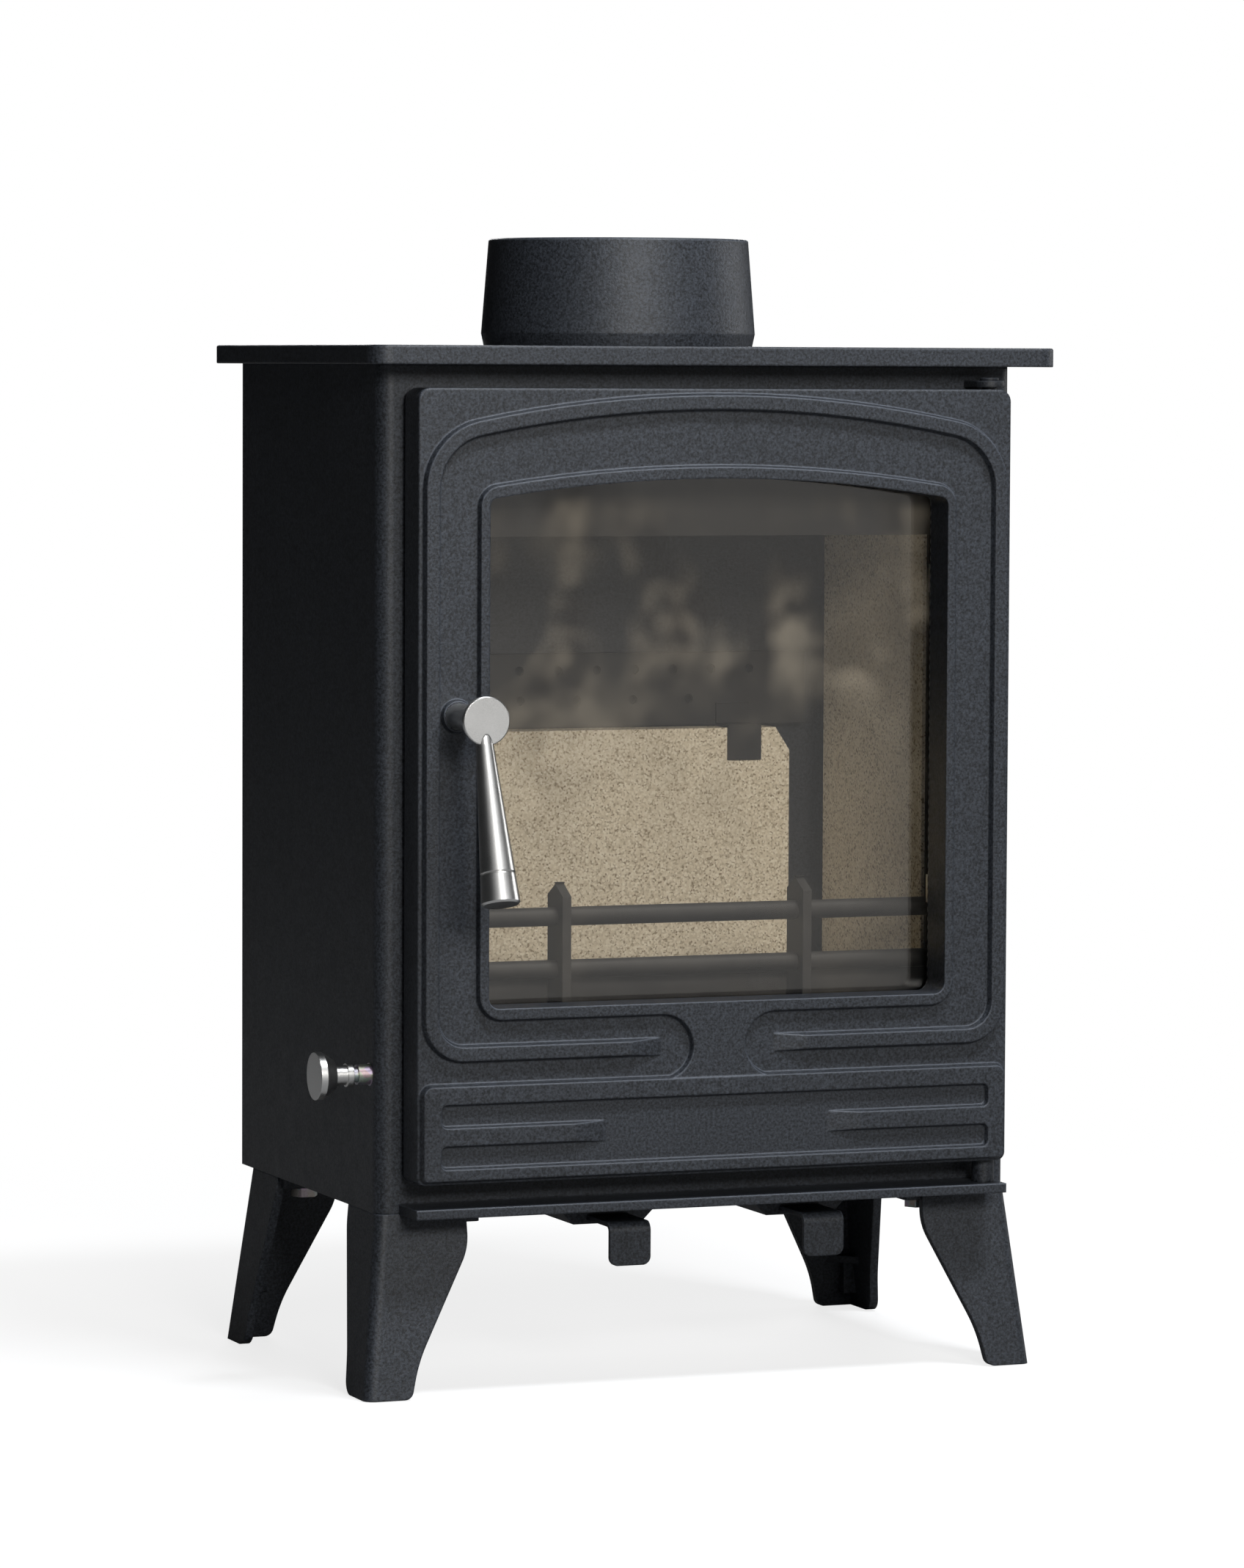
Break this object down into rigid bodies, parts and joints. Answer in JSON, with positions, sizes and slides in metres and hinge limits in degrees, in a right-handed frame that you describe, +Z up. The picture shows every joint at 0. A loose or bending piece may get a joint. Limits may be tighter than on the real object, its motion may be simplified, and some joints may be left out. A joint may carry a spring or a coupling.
{
  "type": "multifuel stove",
  "caption": "Compact free-standing steel stove with arched glass door, riddling grate, sliding air controls, splayed legs and top flue collar.",
  "frame": {"origin": "on the floor, under the middle of the casing", "axes": "+Z up, -Y towards the person who faces the door, +X to that person's right"},
  "size_m": [0.404, 0.3306, 0.606],
  "materials": {
    "black_stove_paint": "satin heat-proof paint",
    "black_cast_paint": "fine cast grain under satin heat-proof paint",
    "brushed_stainless": "turned and brushed",
    "vermiculite": "pressed vermiculite, matt and speckled",
    "zinc_plated_steel": "dull zinc plate",
    "ceramic_glass": "clear ceramic glass, faintly amber",
    "seal_rope": "braided glass-fibre rope",
    "heat_dulled_steel": "matt, heat-dulled"
  },
  "bodies": {
    "stove": {"casing_wrap": "black_stove_paint", "back_panel": "black_stove_paint", "base_plate": "black_stove_paint", "top_plate": "black_stove_paint", "top_fixing_lugs": "heat_dulled_steel", "top_bolts": "zinc_plated_steel", "flue_collar": "black_cast_paint", "flue_collar_screws": "zinc_plated_steel", "leg_front_left": "black_cast_paint", "leg_front_right": "black_cast_paint", "leg_rear_left": "black_cast_paint", "leg_rear_right": "black_cast_paint", "leg_bolts": "zinc_plated_steel", "leg_nuts": "zinc_plated_steel", "primary_air_box": "black_stove_paint", "airwash_air_box": "black_stove_paint", "ash_floor": "heat_dulled_steel", "air_divider": "heat_dulled_steel", "ash_pan": "heat_dulled_steel", "grate_frame": "black_cast_paint", "grate_supports": "heat_dulled_steel", "riddling_bush": "zinc_plated_steel", "side_brick_left": "vermiculite", "side_brick_right": "vermiculite", "back_brick": "vermiculite", "air_manifold": "heat_dulled_steel", "brick_clips": "heat_dulled_steel", "lining_angles": "heat_dulled_steel", "fence_rods": "heat_dulled_steel", "fence_bars": "heat_dulled_steel", "log_plate": "heat_dulled_steel", "throat_plate": "black_cast_paint", "airwash_plate": "heat_dulled_steel", "latch_keeper": "zinc_plated_steel", "hinge_pins": "black_stove_paint", "hinge_collar": "black_stove_paint", "hinge_lug": "black_stove_paint"},
    "door": {"door_frame": "black_cast_paint", "door_seal": "seal_rope", "door_glass": "ceramic_glass", "glass_tape": "seal_rope", "glass_clips": "zinc_plated_steel", "clip_screws": "zinc_plated_steel", "latch_bush": "zinc_plated_steel"},
    "handle": {"latch_spindle": "brushed_stainless", "handle_hub": "brushed_stainless", "handle_lever": "brushed_stainless", "latch_tongue": "zinc_plated_steel", "tongue_nut": "zinc_plated_steel"},
    "riddler": {"riddling_rod": "zinc_plated_steel", "riddling_link": "zinc_plated_steel", "drive_pin": "zinc_plated_steel", "riddling_knob": "brushed_stainless", "riddling_grate": "black_cast_paint"},
    "primary_air": {"primary_air_slide": "black_stove_paint"},
    "airwash_air": {"airwash_slide": "black_stove_paint"}
  },
  "joints": [
    {"name": "door_hinge", "type": "hinge", "parent": "stove", "child": "door", "pos_m": [0.16, -0.127, 0.3], "axis": [0, 0, 1], "range_deg": [0, 105]},
    {"name": "handle_turn", "type": "hinge", "parent": "door", "child": "handle", "pos_m": [-0.1465, -0.13, 0.3568], "axis": [0, 1, 0], "range_deg": [0, 90]},
    {"name": "riddle_slide", "type": "slide", "parent": "stove", "child": "riddler", "axis": [1, 0, 0], "range_m": [-0.018, 0.002]},
    {"name": "primary_air_slide_travel", "type": "slide", "parent": "stove", "child": "primary_air", "axis": [0, -1, 0], "range_m": [0, 0.018]},
    {"name": "airwash_slide_travel", "type": "slide", "parent": "stove", "child": "airwash_air", "axis": [0, -1, 0], "range_m": [0, 0.018]}
  ]
}
